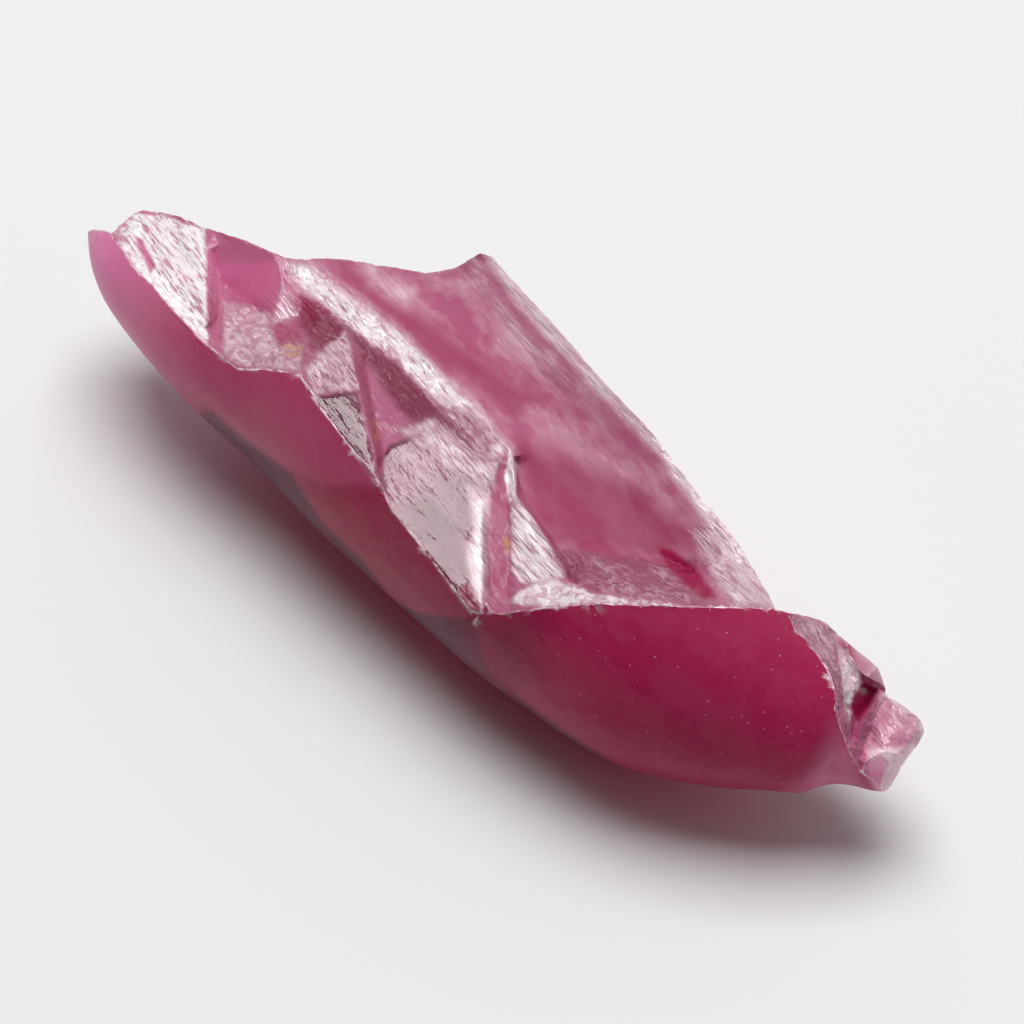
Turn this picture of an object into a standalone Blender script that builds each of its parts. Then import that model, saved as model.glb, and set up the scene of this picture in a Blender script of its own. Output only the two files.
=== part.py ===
"""Raw ruby: one piece split from a drop-grown boule.

The stone is a spindle-shaped boule lying on its belly. The broad upper side has
broken away in a rippled break with steps, ribs and a deep trough, the shoulder
at one end is chipped, and a short stem stands out past the chip.

X runs along the stone towards the stem, Y goes across it to the side where the
break ends in a long straight edge, and Z is up. The design is in millimetres.

The break is laid out by sighting: its marks are set on a flat plate that faces
the open side, and each is carried down its own sight line to a stated height, to
the skin, or to a stated depth under the skin.
"""
import math

import bmesh
import bpy
import numpy as np
from mathutils import Matrix, Vector, noise
from mathutils.bvhtree import BVHTree
from mathutils.geometry import delaunay_2d_cdt

MM = 0.001

# Driving dimensions, in millimetres and degrees, and plain counts and shares
BOULE_RADIUS = 7.7
RING_SPACING = 1.25
RING_SIDES = 36
REST_DEPTH = 0.25
LINE_SPACING = 0.5
BREAK_SPACING = 0.45
CHIP_SPACING = 0.3
SKIN_SPACING = 1.1
SKIN_LIFT = 0.8
KEEP_DEPTH = 40.0
WALL_STEPS = 27
WALL_HOLLOW = 1.5
WALL_SHARE = 0.55
WALL_WAVE = 4.5
WALL_RIPPLE = 1.8
WALL_LEAD = 2.5
WALL_FADE = 6
WALL_REACH = 2.0
GRID_CLEARANCE = 0.6
MARK_WELD = 0.3
WELD_DISTANCE = 0.01
RELAX_ROUNDS = 400
SOFTEN_ROUNDS = 25
CREASE_ANGLE = 25.0
RUBY_COLOUR = (0.40, 0.025, 0.09, 1.0)

# The sighting plate: marks are counted in steps, across and down, of which
# PLATE_STEPS span one unit of sideways travel for each unit of depth
SIGHT_TURN = 40.0
SIGHT_RISE = 45.0
SIGHT_DISTANCE = 130.6
SIGHT_LEVEL = 6.0
PLATE_STEPS = 2844.0
PLATE_CENTRE = (505.0, 500.0)
STEPS_PER_MM = PLATE_STEPS / SIGHT_DISTANCE

# The boule: place along the stone, centre across, centre height, radius
BOULE_STATIONS = [
    (-27.1, 0.8, 9.3, 0.3),
    (-26.9, 0.8, 9.3, 0.8),
    (-26.4, 0.8, 9.2, 1.3),
    (-25.5, 0.8, 9.1, 2.0),
    (-24.0, 0.5, 9.0, 2.8),
    (-22.0, 0.1, 8.9, 3.7),
    (-20.0, 0.0, 8.7, 4.3),
    (-15.0, 0.2, 8.4, 5.7),
    (-10.0, 1.0, 8.1, 7.1),
    (-6.0, 1.0, 7.9, 7.7),
    (0.0, -0.2, 7.4, 7.4),
    (6.0, -1.8, 7.1, 6.7),
    (9.0, -2.3, 6.9, 6.3),
    (12.0, -2.9, 6.7, 5.7),
    (14.0, -2.8, 6.6, 5.0),
    (16.0, -2.4, 6.5, 4.4),
    (18.0, -1.9, 6.4, 3.7),
    (19.2, -1.6, 6.3, 3.3),
    (20.0, -1.3, 6.2, 2.9),
    (20.6, -1.3, 6.1, 2.3),
    (21.2, -1.2, 6.1, 2.0),
    (22.0, -1.0, 6.0, 1.9),
    (22.6, -0.9, 6.0, 1.7),
    (22.9, -0.9, 6.0, 1.3),
    (23.0, -0.9, 6.0, 0.6),
]

# Marks on the skin: where the break, the chip and the broken stem top meet it
NEAR_RIM = [
    (112, 234), (120, 247), (139, 274), (152, 284), (172, 310), (197, 335), (209, 346),
    (223, 357), (238, 369), (270, 370), (300, 375), (315, 397), (330, 420), (357, 455),
    (383, 487), (391, 509), (406, 527), (421, 546), (436, 570), (452, 587), (470, 611),
    (478, 617), (491, 612), (504, 614), (544, 608), (571, 606), (600, 604), (640, 605),
    (700, 607), (740, 608), (770, 609),
]
CHIP_RIM = [
    (790, 616), (794, 630), (806, 640), (816, 652), (823, 664), (830, 674), (834, 687),
    (836, 699), (835, 709), (839, 725), (844, 739), (850, 753), (857, 765), (861, 772),
]
STEM_RIM = [(861, 772), (865, 762), (874, 755), (885, 751), (897, 753), (907, 757)]
LUMP_RIM = [(844, 640), (849, 655), (857, 667), (863, 674), (873, 680), (881, 684), (888, 682)]

# Marks at a height: the far outline, from the tip notch over the crest to the shoulder
CREST = [
    (118, 229, 10.9), (126, 221, 10.9), (134, 214, 10.9), (143, 210, 11.0), (160, 212, 11.2),
    (178, 215, 11.4), (206, 227, 11.7), (240, 238, 12.0), (270, 251, 11.9), (285, 257, 11.6),
    (300, 260, 11.2), (320, 258, 10.8), (345, 259, 10.6), (375, 264, 10.4), (400, 268, 10.3),
    (425, 273, 10.4), (440, 272, 10.5), (455, 268, 10.9), (465, 263, 11.2), (480, 253, 12.0),
    (492, 256, 12.1),
]
FAR_EDGE = [
    (531, 300, 12.3), (568, 340, 12.3), (608, 386, 12.0), (650, 430, 11.5), (681, 470, 11.0),
    (703, 500, 10.7), (722, 523, 10.4), (741, 548, 10.1), (756, 572, 9.9), (767, 592, 9.8),
    (772, 604, 9.9),
]

# Marks at a height: the sharp ridges and steps of the break
SHARP_LINES = {
    "left step top": [(206, 227, 11.7), (208, 250, 11.5), (208, 285, 11.3), (209, 320, 11.2)],
    "left step foot": [(216, 254, 11.2), (218, 275, 10.8), (220, 300, 10.6), (217, 330, 10.6)],
    "tip facet": [(137, 240, 11.4), (144, 257, 11.3), (150, 274, 11.3)],
    "hollow foot": [(226, 287, 10.5), (243, 301, 10.4), (258, 308, 10.4), (269, 325, 10.4)],
    "hollow side": [(278, 258, 11.7), (282, 283, 11.3), (269, 325, 10.4)],
    "small facet": [(282, 283, 11.3), (304, 316, 10.9), (269, 325, 10.4)],
    "hump back": [(304, 316, 10.9), (330, 322, 11.3), (345, 328, 11.9)],
    "hump top": [(306, 366, 12.5), (318, 354, 12.4), (334, 340, 12.2), (345, 328, 11.9)],
    "hump lip": [
        (345, 328, 11.9), (355, 352, 12.1), (360, 390, 12.0), (370, 432, 11.6), (378, 463, 11.3)],
    "crevice": [
        (350, 330, 11.7), (363, 352, 11.6), (369, 390, 11.4), (378, 430, 11.0), (386, 466, 10.9)],
    "cliff top": [
        (511, 457, 10.7), (514, 478, 10.4), (517, 495, 10.3), (532, 518, 10.3), (550, 544, 10.3),
        (566, 567, 10.3), (566, 580, 10.3)],
    "cliff foot": [
        (516, 462, 9.9), (519, 478, 9.6), (521, 493, 9.4), (536, 515, 9.3), (550, 535, 9.2),
        (559, 548, 8.9), (571, 566, 8.8), (572, 579, 9.2)],
    "band top": [(566, 580, 10.3), (578, 586, 10.4), (600, 593, 10.7), (625, 597, 11.0)],
    "band foot": [(508, 604, 9.5), (514, 593, 9.6), (528, 585, 9.8), (547, 580, 10.1), (566, 580, 10.3)],
    "valley left": [
        (500, 462, 10.6), (489, 492, 10.4), (485, 520, 10.2), (488, 550, 10.0), (488, 585, 9.7)],
    "valley right": [
        (508, 474, 10.3), (508, 495, 10.1), (509, 530, 9.9), (510, 560, 9.7), (506, 590, 9.4)],
    "slope crease": [(550, 535, 9.2), (590, 541, 9.1), (640, 553, 9.0), (688, 569, 9.0)],
}

# Marks at a height: the rounded swells and hollows between them
SOFT_LINES = {
    "tip shoulder": [(126, 221, 10.9), (150, 224, 11.4), (178, 232, 11.6), (207, 240, 11.6)],
    "pink hollow": [(238, 262, 11.1), (243, 283, 10.7), (262, 300, 10.6)],
    "rough floor": [(235, 330, 10.5), (258, 345, 10.6), (284, 352, 10.9)],
    "crevice wall": [(358, 336, 11.6), (374, 356, 11.6), (385, 395, 11.4), (390, 440, 11.1)],
    "streaked ridge": [
        (285, 257, 11.6), (312, 279, 11.5), (340, 300, 11.5), (370, 323, 11.4), (400, 350, 11.3),
        (440, 395, 11.2), (470, 432, 11.0), (496, 450, 10.8), (511, 457, 10.7)],
    "groove": [
        (322, 303, 11.1), (352, 330, 11.0), (385, 362, 10.8), (420, 397, 10.7), (452, 430, 10.7)],
    "groove lip": [(376, 366, 11.5), (400, 390, 11.3), (430, 420, 11.1), (462, 446, 10.9)],
    "slope foot": [
        (335, 275, 10.8), (370, 300, 10.7), (405, 325, 10.6), (437, 352, 10.4), (470, 390, 10.1),
        (497, 425, 9.8), (522, 455, 9.4)],
    "slope middle": [
        (410, 292, 10.5), (460, 315, 10.7), (510, 355, 10.7), (555, 405, 10.5), (600, 455, 10.0),
        (640, 495, 9.7), (680, 532, 9.3), (716, 566, 9.2)],
    "trough floor": [
        (590, 568, 8.4), (620, 577, 8.3), (655, 585, 8.4), (692, 592, 8.6), (730, 598, 8.9)],
}

# Marks at a depth under the skin: the chipped shoulder and the broken stem top.
# A depth above the skin leaves the skin whole there, inside the outline
TIP_SIDE = [(60, 243, -0.8), (76, 237, -0.8), (85, 233, -0.8), (94, 230, -0.8), (106, 231, -0.8)]
SHOULDER_TOP = [(775, 610, -0.8), (782, 611, -0.8), (789, 613, -0.8)]
CHIP_TOP = [
    (794, 614, 0.15), (801, 615, 0.25), (816, 619, 0.35), (825, 622, 0.40), (829, 626, 0.60),
    (838, 634, 0.50)]
LUMP_TOP = [(844, 639, -0.8), (857, 647, -0.8), (872, 656, -0.8), (883, 667, -0.8), (889, 677, -0.8)]
STEM_TOP = [
    (884, 693, 0.50), (887, 698, 0.20), (895, 701, 0.15), (907, 702, 0.15), (918, 709, 0.15),
    (925, 719, 0.15), (925, 728, 0.10)]
STEM_END = [
    (918, 744, -0.8), (908, 757, -0.8), (901, 766, -0.8), (896, 777, -0.8), (889, 788, -0.8),
    (880, 795, -0.8)]
CHIP_LINES = {
    "chip rib": [
        (829, 626, 0.60), (832, 639, 0.50), (836, 653, 0.50), (841, 670, 0.50), (843, 687, 0.45),
        (841, 702, 0.30), (844, 722, 0.30), (850, 742, 0.25)],
    "rough strip": [(839, 641, 0.75), (846, 657, 0.80), (852, 675, 0.90), (849, 692, 0.80)],
    "lump foot": [(853, 666, 0.45), (859, 677, 0.55), (868, 681, 0.60), (877, 688, 0.60)],
    "pocket": [(864, 687, 1.20), (873, 693, 1.10), (867, 704, 1.20), (858, 716, 1.10), (853, 702, 1.10)],
    "pocket tail": [(858, 716, 1.10), (855, 728, 0.80), (851, 740, 0.45)],
    "thin ridge": [
        (883, 690, 0.45), (877, 698, 0.25), (867, 713, 0.20), (860, 727, 0.20), (857, 741, 0.20),
        (857, 755, 0.15), (860, 765, 0.10)],
    "stem root": [(884, 702, 0.60), (878, 709, 0.75), (873, 725, 0.75), (866, 742, 0.65), (863, 753, 0.40)],
    "stem facet": [(877, 726, 0.35), (885, 746, 0.10), (869, 747, 0.35)],
    "stem top": [(890, 708, 0.25), (893, 722, 0.30), (899, 738, 0.15), (907, 727, 0.30), (915, 717, 0.20)],
}

# Marks past the stone, all round its near side
NEAR_SIDE = [(872, 830), (800, 840), (640, 815), (520, 765), (400, 665), (230, 500), (120, 390), (50, 290)]


def clear_scene():
    for obj in list(bpy.data.objects):
        bpy.data.objects.remove(obj, do_unlink=True)
    for collection in list(bpy.data.collections):
        bpy.data.collections.remove(collection)


def make_collection(name):
    collection = bpy.data.collections.new(name)
    bpy.context.scene.collection.children.link(collection)
    return collection


def make_ruby_material():
    material = bpy.data.materials.new("ruby")
    material.use_nodes = True
    shader = material.node_tree.nodes["Principled BSDF"]
    shader.inputs["Base Color"].default_value = RUBY_COLOUR
    shader.inputs["Roughness"].default_value = 0.25
    shader.inputs["Metallic"].default_value = 0.0
    shader.inputs["IOR"].default_value = 1.77
    return material


def sight_axes():
    """Return the across, up and out directions of the side on which the break opens."""
    turn = math.radians(SIGHT_TURN)
    rise = math.radians(SIGHT_RISE)
    out = Vector((math.sin(turn) * math.cos(rise), -math.cos(turn) * math.cos(rise), math.sin(rise)))
    across = Vector((math.cos(turn), math.sin(turn), 0.0))
    return across, out.cross(across), out


ACROSS, UP, OUT = sight_axes()
SIGHT_POINT = Vector((0.0, 0.0, SIGHT_LEVEL)) + OUT * SIGHT_DISTANCE


def sight_line(across, down):
    """Return the direction of a plate mark's sight line, one unit deep."""
    sideways = ACROSS * ((across - PLATE_CENTRE[0]) / PLATE_STEPS)
    upwards = UP * ((PLATE_CENTRE[1] - down) / PLATE_STEPS)
    return sideways + upwards - OUT


def on_sight_line(across, down, depth):
    """Return the point at a depth down a mark's sight line."""
    return SIGHT_POINT + sight_line(across, down) * depth


def depth_at_height(across, down, height):
    return (height - SIGHT_POINT.z) / sight_line(across, down).z


def depth_at_skin(across, down, skin):
    """Return how deep the skin lies under a mark, or nothing where the sight line misses it."""
    line = sight_line(across, down)
    _, _, _, distance = skin.ray_cast(SIGHT_POINT * MM, line)
    return None if distance is None else distance / MM / line.length


def plate_depth(point):
    return (SIGHT_POINT - point / MM).dot(OUT)


def plate_place(point):
    """Return the plate mark through which a point is sighted."""
    line = (point / MM - SIGHT_POINT) * (PLATE_STEPS / plate_depth(point))
    return PLATE_CENTRE[0] + line.dot(ACROSS), PLATE_CENTRE[1] - line.dot(UP)


def hermite(keys, values, places):
    """Follow the values through their keys with a smooth curve."""
    slopes = np.gradient(values, keys)
    index = np.clip(np.searchsorted(keys, places) - 1, 0, len(keys) - 2)
    span = keys[index + 1] - keys[index]
    t = (places - keys[index]) / span
    start = (2 * t**3 - 3 * t**2 + 1) * values[index] + (t**3 - 2 * t**2 + t) * span * slopes[index]
    end = (3 * t**2 - 2 * t**3) * values[index + 1] + (t**3 - t**2) * span * slopes[index + 1]
    return start + end


def ring_places(stations):
    """Choose where the boule's rings stand: at the stations, and evenly between them."""
    places = [stations[0][0]]
    for start, end in zip(stations[:-1, 0], stations[1:, 0]):
        steps = max(1, round((end - start) / RING_SPACING))
        places.extend(start + (end - start) * step / steps for step in range(1, steps + 1))
    return np.array(places)


def weld_and_face_out(mesh):
    shape = bmesh.new()
    shape.from_mesh(mesh)
    bmesh.ops.remove_doubles(shape, verts=shape.verts, dist=WELD_DISTANCE * MM)
    bmesh.ops.recalc_face_normals(shape, faces=shape.faces)
    shape.to_mesh(mesh)
    shape.free()


def make_boule(collection):
    """Sweep a round section of changing radius along the boule's gently bent axis."""
    stations = np.array(BOULE_STATIONS)
    places = ring_places(stations)
    across, height, radius = (hermite(stations[:, 0], stations[:, k], places) for k in (1, 2, 3))
    curve = bpy.data.curves.new("boule_axis", "CURVE")
    curve.dimensions = "3D"
    curve.fill_mode = "FULL"
    curve.use_fill_caps = True
    curve.bevel_depth = BOULE_RADIUS * MM
    curve.bevel_resolution = RING_SIDES // 2 - 2
    spline = curve.splines.new("POLY")
    spline.points.add(len(places) - 1)
    for point, x, y, z, r in zip(spline.points, places, across, height, radius):
        point.co = (x * MM, y * MM, z * MM, 1.0)
        point.radius = r / BOULE_RADIUS
    axis = bpy.data.objects.new("boule_axis", curve)
    collection.objects.link(axis)
    bpy.context.view_layer.update()
    evaluated = axis.evaluated_get(bpy.context.evaluated_depsgraph_get())
    mesh = bpy.data.meshes.new_from_object(evaluated)
    bpy.data.objects.remove(axis, do_unlink=True)
    weld_and_face_out(mesh)
    boule = bpy.data.objects.new("ruby_crystal", mesh)
    collection.objects.link(boule)
    return boule


def skin_tree(boule):
    """Make the lookup that finds where a sight line meets the boule's skin."""
    shape = bmesh.new()
    shape.from_mesh(boule.data)
    tree = BVHTree.FromBMesh(shape)
    shape.free()
    return tree


def spread_along(marks, spacing):
    """Place marks at an even spacing along a line of straight runs, keeping its corners."""
    marks = np.asarray(marks, dtype=float)
    spread = [marks[0]]
    for start, end in zip(marks[:-1], marks[1:]):
        steps = max(1, round(np.linalg.norm((end - start)[:2]) / (spacing * STEPS_PER_MM)))
        for step in range(1, steps + 1):
            spread.append(start + (end - start) * step / steps)
    return np.array(spread)


def skin_line(marks, skin, spacing=LINE_SPACING):
    """Lay a line of marks on the skin, as plate place and depth."""
    spread = spread_along([(across, down, 0.0) for across, down in marks], spacing)
    return [(across, down, depth_at_skin(across, down, skin)) for across, down, _ in spread]


def height_line(marks, spacing=LINE_SPACING):
    """Lay a line of marks at their heights, as plate place and depth."""
    spread = spread_along(marks, spacing)
    return [(across, down, depth_at_height(across, down, height)) for across, down, height in spread]


def sunk_line(marks, skin, spacing=CHIP_SPACING):
    """Lay a line of marks at their depths under the skin, as plate place and depth."""
    line = []
    for across, down, sunk in spread_along(marks, spacing):
        depth = depth_at_skin(across, down, skin)
        line.append((across, down, None if depth is None else depth + sunk))
    return line


def open_line(marks):
    """Place marks past the stone, whose depth is left free."""
    spread = spread_along([(across, down, 0.0) for across, down in marks], SKIN_SPACING)
    return [(across, down, None) for across, down, _ in spread]


def inside(polygon, places):
    """Tell which plate places lie inside a polygon."""
    polygon = np.asarray(polygon, dtype=float)[:, :2]
    x, y = places[:, 0], places[:, 1]
    hit = np.zeros(len(places), dtype=bool)
    for (x0, y0), (x1, y1) in zip(polygon, np.roll(polygon, -1, axis=0)):
        if y0 == y1:
            continue
        crosses = (y0 > y) != (y1 > y)
        hit ^= crosses & (x < (x1 - x0) * (y - y0) / (y1 - y0) + x0)
    return hit


def fill_grid(polygon, taken, spacing):
    """Fill a polygon with a triangular grid that keeps clear of the marks already placed."""
    step = spacing * STEPS_PER_MM
    polygon = np.asarray(polygon, dtype=float)[:, :2]
    low, high = polygon.min(axis=0), polygon.max(axis=0)
    grid = []
    for number, row in enumerate(np.arange(low[1], high[1], step * math.sqrt(0.75))):
        start = low[0] + (number % 2) * step / 2
        grid.extend((column, row) for column in np.arange(start, high[0], step))
    grid = np.array(grid)
    grid = grid[inside(polygon, grid)]
    gaps = np.linalg.norm(grid[:, None, :] - taken[None, :, :], axis=2).min(axis=1)
    return grid[gaps > step * GRID_CLEARANCE]


def relax(depths, fixed, faces, rounds):
    """Stretch the free marks between the fixed ones like a skin, by repeated averaging."""
    pairs = {tuple(sorted(pair)) for a, b, c in faces for pair in ((a, b), (b, c), (c, a))}
    first, second = np.array(sorted(pairs)).T
    count = len(depths)
    degree = np.bincount(first, minlength=count) + np.bincount(second, minlength=count)
    for _ in range(rounds):
        total = np.bincount(first, depths[second], count) + np.bincount(second, depths[first], count)
        depths = np.where(fixed, depths, total / np.maximum(degree, 1))
    return depths


def lay_out_break(skin):
    """Lay out the sheet that the break follows: its border, its lines and its zones."""
    rim = skin_line(NEAR_RIM, skin)
    chip_rim = skin_line(CHIP_RIM, skin, CHIP_SPACING)
    stem_rim = skin_line(STEM_RIM, skin, CHIP_SPACING)
    lump_rim = skin_line(LUMP_RIM, skin, CHIP_SPACING)
    tip = sunk_line(TIP_SIDE, skin)
    crest = height_line(CREST + FAR_EDGE)
    shoulder = sunk_line(SHOULDER_TOP, skin)
    chip_top = sunk_line(CHIP_TOP, skin)
    lump_top = sunk_line(LUMP_TOP, skin)
    stem_top = sunk_line(STEM_TOP, skin)
    stem_end = sunk_line(STEM_END, skin)
    past = open_line(NEAR_SIDE)
    border = tip + rim[:1] + crest + shoulder + chip_top + lump_top + stem_top + stem_end + past
    sharp = [rim, chip_rim, stem_rim, lump_rim]
    sharp += [height_line(line) for line in SHARP_LINES.values()]
    sharp += [sunk_line(line, skin) for line in CHIP_LINES.values()]
    soft = [height_line(line) for line in SOFT_LINES.values()]
    broken_zones = {
        BREAK_SPACING: rim + crest[::-1],
        CHIP_SPACING: chip_rim + stem_rim + stem_top[::-1] + lump_rim[::-1] + chip_top[::-1],
    }
    skin_zones = [
        tip + rim + shoulder + chip_rim + stem_rim + stem_end + past,
        lump_rim + lump_top[::-1],
    ]
    return border, sharp, soft, broken_zones, skin_zones


def place_marks(skin):
    """Gather every mark of the sheet, the edges of its lines, and which marks are soft."""
    border, sharp, soft, broken_zones, skin_zones = lay_out_break(skin)
    marks = list(border)
    edges = []
    for line in sharp + soft:
        edges.extend((len(marks) + k, len(marks) + k + 1) for k in range(len(line) - 1))
        marks.extend(line)
    soft_start = len(marks) - sum(len(line) for line in soft)
    soft_end = len(marks)
    taken = np.array([mark[:2] for mark in marks])
    for spacing, zone in broken_zones.items():
        marks.extend((*place, None) for place in fill_grid(zone, taken, spacing))
    for zone in skin_zones:
        for place in fill_grid(zone, taken, SKIN_SPACING):
            depth = depth_at_skin(*place, skin)
            marks.append((*place, None if depth is None else depth - SKIN_LIFT))
    return marks, edges, len(border), range(soft_start, soft_end)


def make_keeper(skin, collection):
    """Build the closed block, bounded above by the break, whose share of the boule is kept."""
    marks, edges, border_count, soft_marks = place_marks(skin)
    plan = [Vector(mark[:2]) for mark in marks]
    ring = list(range(border_count))
    places, _, faces, origins, _, _ = delaunay_2d_cdt(plan, edges, [ring], 1, MARK_WELD)
    known = [mark[2] for mark in marks if mark[2] is not None]
    depths = np.full(len(places), sum(known) / len(known))
    fixed = np.zeros(len(places), dtype=bool)
    sharp = np.zeros(len(places), dtype=bool)
    for number, origin in enumerate(origins):
        held = [k for k in origin if marks[k][2] is not None]
        if held:
            depths[number] = sum(marks[k][2] for k in held) / len(held)
            fixed[number] = True
            sharp[number] = any(k not in soft_marks for k in held)
    depths = relax(depths, fixed, faces, RELAX_ROUNDS)
    depths = relax(depths, sharp, faces, SOFTEN_ROUNDS)
    shape = bmesh.new()
    sheet = [shape.verts.new(on_sight_line(*at, depth) * MM) for at, depth in zip(places, depths)]
    for face in faces:
        shape.faces.new([sheet[k] for k in face])
    loose = [vert for vert in sheet if not vert.link_faces]
    bmesh.ops.delete(shape, geom=loose, context="VERTS")
    sheet = [vert for vert in sheet if vert.is_valid]
    bmesh.ops.recalc_face_normals(shape, faces=shape.faces)
    sunk = bmesh.ops.extrude_face_region(shape, geom=list(shape.faces), use_keep_orig=True)
    for item in sunk["geom"]:
        if isinstance(item, bmesh.types.BMVert):
            line = item.co - SIGHT_POINT * MM
            item.co += line.normalized() * KEEP_DEPTH * MM
    hollow_far_wall(shape, sheet, height_line(CREST + FAR_EDGE))
    return link_cutter("break_keeper", shape, collection)


def wall_wave(point):
    """Return the uneven share by which the broken wall is hollowed at a point."""
    wave = noise.noise(point / MM / WALL_WAVE)
    ripple = noise.noise(point / MM / WALL_RIPPLE)
    return max(0.0, WALL_SHARE + wave + ripple / 2)


def hollow_far_wall(shape, sheet, far_line):
    """Break the wall under the far outline back in uneven hollows, out of sight from the plate."""
    top = set(sheet)
    upright = [edge for edge in shape.edges if (edge.verts[0] in top) != (edge.verts[1] in top)]
    rims = [edge.verts[0] if edge.verts[0] in top else edge.verts[1] for edge in upright]
    rim_places = np.array([plate_place(vert.co) for vert in rims])
    rim_depths = np.array([plate_depth(vert.co) for vert in rims])
    far_places = np.array([mark[:2] for mark in far_line])
    last = len(far_places) - 1
    before = set(shape.verts)
    bmesh.ops.subdivide_edges(shape, edges=upright, cuts=WALL_STEPS, use_grid_fill=True)
    for vert in set(shape.verts) - before:
        place = np.array(plate_place(vert.co))
        gaps = np.linalg.norm(far_places - place, axis=1)
        along = gaps.argmin()
        if gaps[along] > WALL_REACH:
            continue
        rim_depth = rim_depths[np.linalg.norm(rim_places - place, axis=1).argmin()]
        lead = min(1.0, (plate_depth(vert.co) - rim_depth) / WALL_LEAD)
        fade = min(1.0, along / WALL_FADE, (last - along) / WALL_FADE)
        run = far_places[min(last, along + 2)] - far_places[max(0, along - 2)]
        run /= np.linalg.norm(run)
        inward = ACROSS * -run[1] - UP * run[0]
        vert.co += inward * (WALL_HOLLOW * wall_wave(vert.co) * lead * fade * MM)


def link_cutter(name, shape, collection):
    """Turn a closed bmesh into a hidden cutter object."""
    bmesh.ops.recalc_face_normals(shape, faces=shape.faces)
    mesh = bpy.data.meshes.new(name)
    shape.to_mesh(mesh)
    shape.free()
    cutter = bpy.data.objects.new(name, mesh)
    cutter.hide_render = True
    cutter.display_type = "WIRE"
    collection.objects.link(cutter)
    return cutter


def make_rest_cutter(collection):
    """Build the block that wears a small flat on the belly."""
    shape = bmesh.new()
    bmesh.ops.create_cube(shape, size=1.0)
    length, width, thickness = 0.06, 0.03, 0.01
    size = Matrix.Diagonal((length, width, thickness, 1.0))
    place = Matrix.Translation((0.0, 0.0, REST_DEPTH * MM - thickness / 2))
    bmesh.ops.transform(shape, verts=shape.verts, matrix=place @ size)
    return link_cutter("rest_cutter", shape, collection)


def cut(stone, cutter, operation):
    """Cut the stone for good, keeping what the operation leaves."""
    modifier = stone.modifiers.new(cutter.name, "BOOLEAN")
    modifier.operation = operation
    modifier.solver = "EXACT"
    modifier.object = cutter
    evaluated = stone.evaluated_get(bpy.context.evaluated_depsgraph_get())
    mesh = bpy.data.meshes.new_from_object(evaluated)
    stone.modifiers.remove(modifier)
    stone.data = mesh


def centre_on_base(mesh):
    """Put the origin at the bottom centre of the stone's box."""
    places = np.array([vert.co for vert in mesh.vertices])
    low, high = places.min(axis=0), places.max(axis=0)
    shift = Vector(((low[0] + high[0]) / 2, (low[1] + high[1]) / 2, low[2]))
    mesh.transform(Matrix.Translation(-shift))


def main():
    clear_scene()
    crystal = make_collection("raw_ruby")
    cutters = make_collection("cutters")
    stone = make_boule(crystal)
    cut(stone, make_keeper(skin_tree(stone), cutters), "INTERSECT")
    cut(stone, make_rest_cutter(cutters), "DIFFERENCE")
    weld_and_face_out(stone.data)
    centre_on_base(stone.data)
    stone.data.materials.clear()
    stone.data.materials.append(make_ruby_material())
    stone.data.shade_smooth()
    stone.data.set_sharp_from_angle(angle=math.radians(CREASE_ANGLE))


main()
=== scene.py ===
import math

import bmesh
import bpy
import numpy as np
from mathutils import Matrix, Vector


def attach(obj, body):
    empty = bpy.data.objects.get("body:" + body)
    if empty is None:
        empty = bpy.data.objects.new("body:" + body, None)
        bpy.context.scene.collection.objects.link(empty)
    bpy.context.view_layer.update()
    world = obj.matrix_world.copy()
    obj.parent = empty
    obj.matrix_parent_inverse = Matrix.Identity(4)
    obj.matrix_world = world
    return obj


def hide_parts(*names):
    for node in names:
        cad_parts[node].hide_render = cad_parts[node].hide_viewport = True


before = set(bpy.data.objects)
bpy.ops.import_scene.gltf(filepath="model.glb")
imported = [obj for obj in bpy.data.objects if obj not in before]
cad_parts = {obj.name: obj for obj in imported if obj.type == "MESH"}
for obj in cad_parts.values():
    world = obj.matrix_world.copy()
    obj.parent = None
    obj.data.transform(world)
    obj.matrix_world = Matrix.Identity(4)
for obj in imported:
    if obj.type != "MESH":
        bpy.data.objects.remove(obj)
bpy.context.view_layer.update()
print("frame loaded")

mm = 0.001
scene = bpy.context.scene
scene.view_settings.view_transform = "Standard"


def srgbToLinear(hexColor):
    parts = [int(hexColor[i:i + 2], 16) / 255 for i in (1, 3, 5)]
    linear = [c / 12.92 if c <= 0.04045 else ((c + 0.055) / 1.055) ** 2.4 for c in parts]
    return (*linear, 1.0)


# from the frame that the stone was designed in to this one, in mm
designShift = (1.6925, -0.0034, -0.25)

# the camera looks at the open side of the stone, from in front and above
cameraSettings = {
    "turn": 40.0,               # degrees round from -Y
    "rise": 45.0,               # degrees above the floor
    "distance": 130.556 * mm,
    "target": tuple((a + b) * mm for a, b in zip(designShift, (0, 0, 6))),
    "middle": (505, 500),       # where the target shows, in steps across and down
    "steps": 1024,              # steps across the view
    "lens": 100.0,
    "sensor": 36.0,
}


def sightAxes(settings):
    turn, rise = math.radians(settings["turn"]), math.radians(settings["rise"])
    back = Vector((math.sin(turn) * math.cos(rise), -math.cos(turn) * math.cos(rise), math.sin(rise)))
    right = Vector((math.cos(turn), math.sin(turn), 0.0))
    return right, back.cross(right), back


def eyePlace(settings):
    return np.array(settings["target"]) + np.array(sightAxes(settings)[2]) * settings["distance"]


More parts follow.
